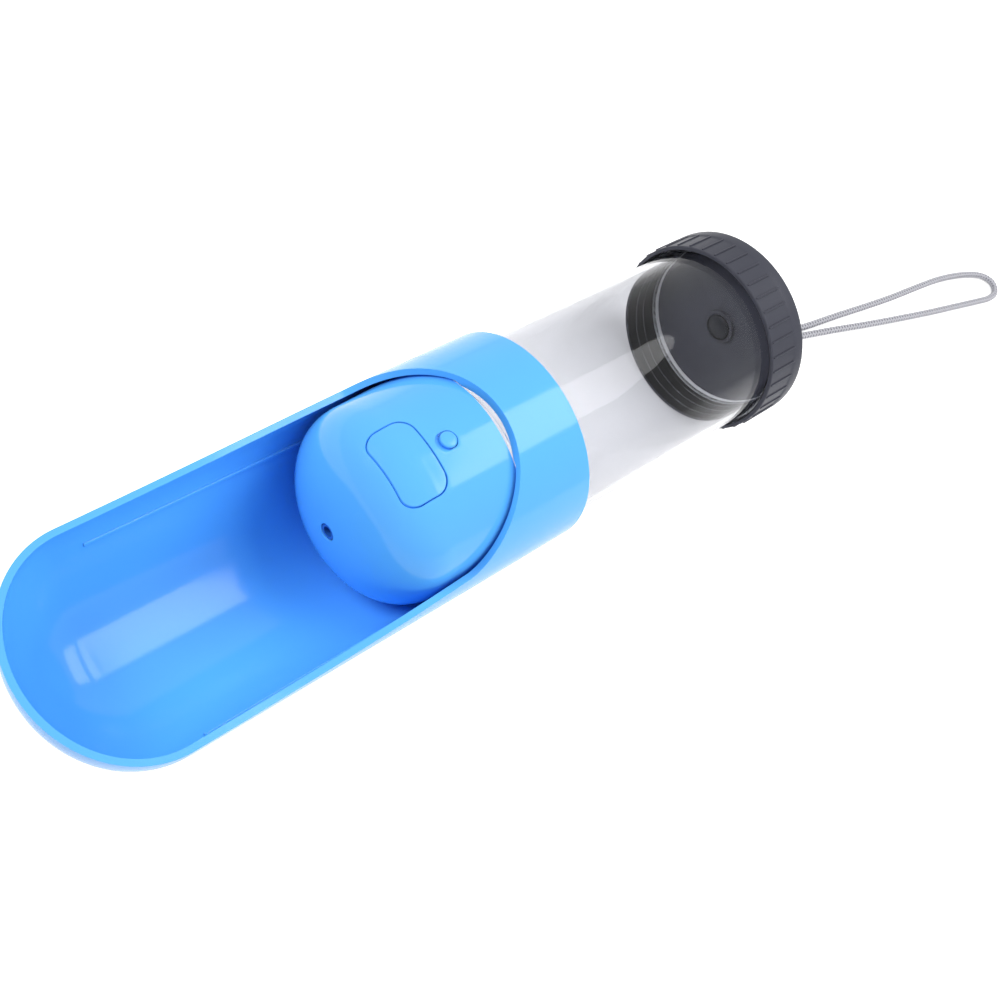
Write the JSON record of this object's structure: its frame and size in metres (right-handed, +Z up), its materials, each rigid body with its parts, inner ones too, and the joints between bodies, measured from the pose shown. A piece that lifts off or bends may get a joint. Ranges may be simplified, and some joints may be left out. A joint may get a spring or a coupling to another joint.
{
  "type": "dog travel water bottle",
  "caption": "Slide-open pet water bottle: trough sleeve, domed head with press button and lock, clear tube, ribbed screw cap and lanyard loop.",
  "frame": {"origin": "bottom centre of the box round the part without its lanyard, on the surface it lies on", "axes": "+X from the trough to the end cap along the bottle's axis, +Z up out of the trough's opening, +Y across"},
  "size_m": [0.4697, 0.0757, 0.0696],
  "materials": {
    "sky_blue_plastic": "glossy moulded plastic",
    "deep_blue_plastic": "satin moulded plastic",
    "clear_plastic": "clear polished plastic",
    "charcoal_plastic": "satin moulded plastic",
    "white_plastic": "satin moulded plastic",
    "clear_silicone": "translucent silicone",
    "black_rubber": "soft rubber",
    "steel": "drawn stainless wire and bar",
    "grey_braid": "braided elastic cord"
  },
  "bodies": {
    "sleeve": {"trough_sleeve": "sky_blue_plastic", "collar_grip_ring": "black_rubber"},
    "head": {"head_shell": "sky_blue_plastic", "head_base": "deep_blue_plastic", "valve_block": "white_plastic", "valve_seat": "white_plastic", "valve_spring": "steel", "spring_cap": "white_plastic", "stem_seal": "black_rubber", "stem_bush": "white_plastic", "block_screws": "steel", "outlet_nozzle": "deep_blue_plastic", "nozzle_seal": "black_rubber", "air_vent_valve": "clear_silicone"},
    "button": {"press_button": "sky_blue_plastic", "valve_stem": "steel", "valve_seal": "clear_silicone"},
    "lock": {"lock_knob": "sky_blue_plastic", "lock_plate": "white_plastic"},
    "neck_ring": {"neck_seal": "clear_silicone"},
    "bottle": {"bottle_tube": "clear_plastic"},
    "cap_ring": {"cap_seal": "clear_silicone"},
    "cap": {"end_cap": "charcoal_plastic", "cord_plug": "charcoal_plastic", "cord_stop": "steel", "lanyard_cord": "grey_braid"}
  },
  "joints": [
    {"name": "head_slide", "type": "slide", "parent": "sleeve", "child": "head", "axis": [-1, 0, 0], "range_m": [0, 0.088]},
    {"name": "button_press", "type": "slide", "parent": "head", "child": "button", "axis": [0, 0, -1], "range_m": [0, 0.0025], "stiffness_N_per_m": 600, "springref_m": -0.001, "deforming": ["valve_spring"]},
    {"name": "lock_slide", "type": "slide", "parent": "head", "child": "lock", "axis": [1, 0, 0], "range_m": [-0.0014, 0]},
    {"name": "neck_travel", "type": "slide", "parent": "head", "child": "neck_ring", "axis": [1, 0, 0], "range_m": [0, 0.008]},
    {"name": "neck_turn", "type": "hinge", "parent": "neck_ring", "child": "bottle", "pos_m": [0, 0, 0.0346], "axis": [1, 0, 0], "range_deg": [0, 720]},
    {"name": "cap_travel", "type": "slide", "parent": "bottle", "child": "cap_ring", "axis": [1, 0, 0], "range_m": [0, 0.008]},
    {"name": "cap_turn", "type": "hinge", "parent": "cap_ring", "child": "cap", "pos_m": [0, 0, 0.0346], "axis": [1, 0, 0], "range_deg": [0, 720]}
  ],
  "couplings": [
    {"joint": "neck_travel", "follows": "neck_turn", "m_per_rad": 0.000636},
    {"joint": "cap_travel", "follows": "cap_turn", "m_per_rad": 0.000636}
  ]
}
